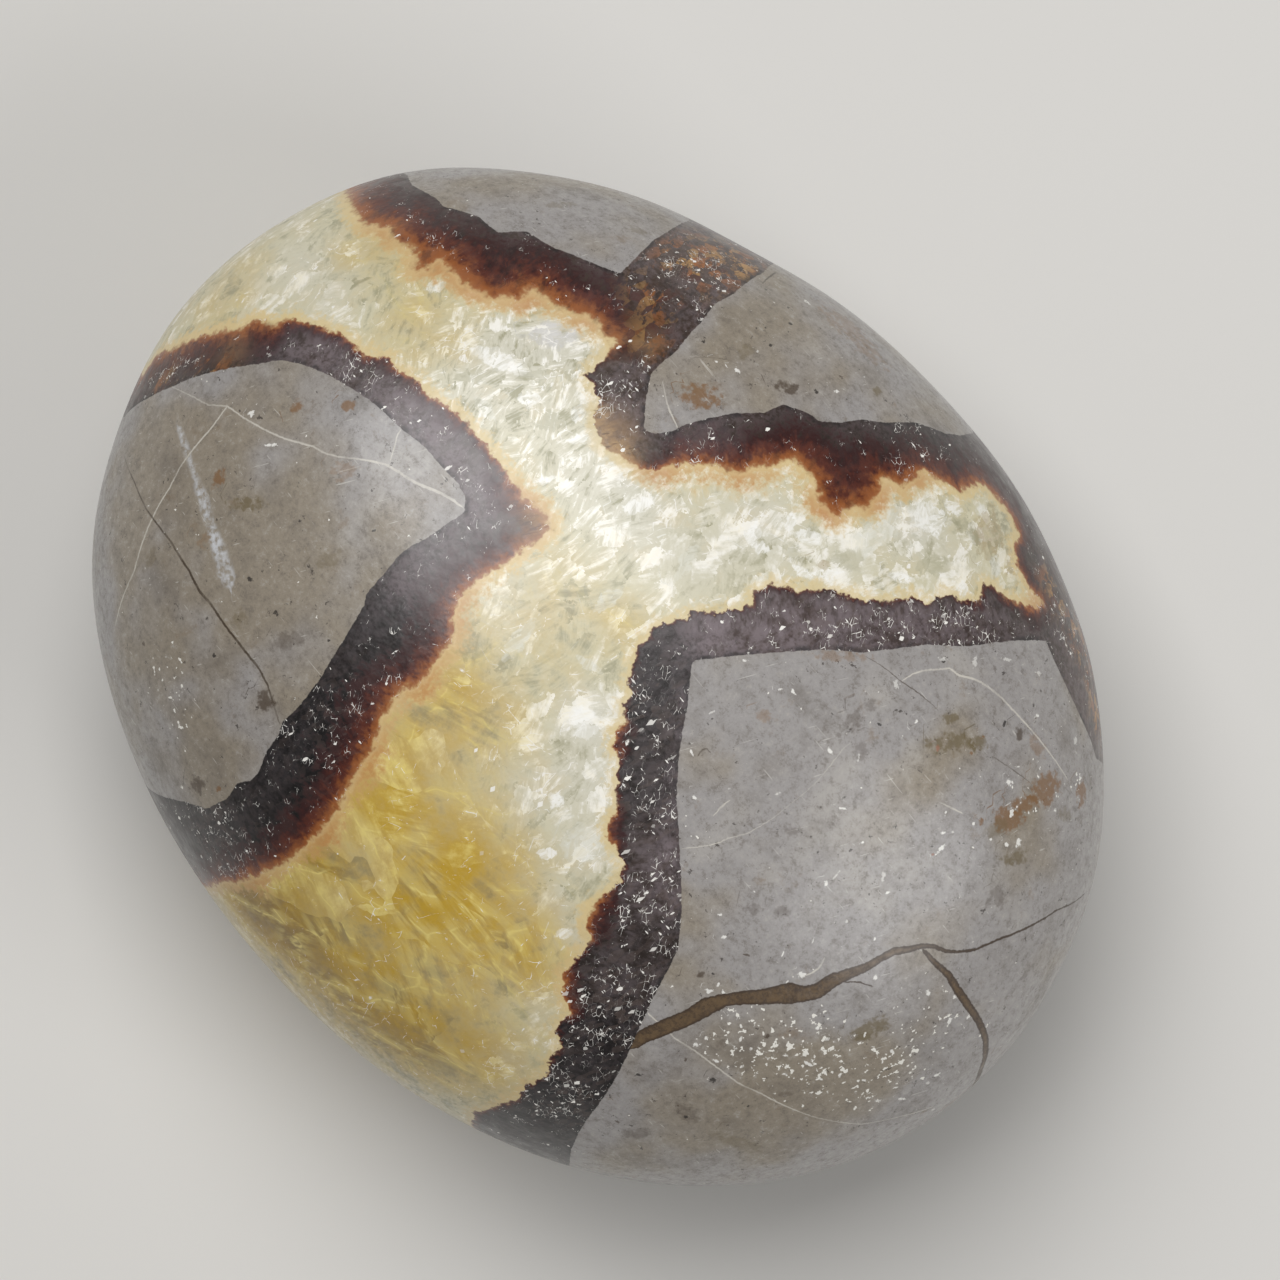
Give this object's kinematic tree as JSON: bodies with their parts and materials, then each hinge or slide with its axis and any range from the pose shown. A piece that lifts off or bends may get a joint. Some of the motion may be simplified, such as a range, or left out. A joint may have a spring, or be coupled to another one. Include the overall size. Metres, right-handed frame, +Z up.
{
  "type": "septarian nodule",
  "caption": "Polished egg-shaped pebble of grey mudstone with brown-lined, honey-coloured crystal veins, resting on a small flat spot.",
  "frame": {"origin": "on the surface the stone rests on, under the middle of its box", "axes": "+X along the stone towards its slightly wider end, +Y across it, +Z up through its thinnest direction, from the rest spot to the crown"},
  "size_m": [0.0702, 0.0556, 0.037],
  "materials": {
    "polished_stone": "hand-polished mudstone with flush veins of dark brown aragonite and pale to honey-yellow calcite, glossy with fine scratches and pits"
  },
  "bodies": {
    "root": {"nodule": "polished_stone"}
  },
  "joints": []
}
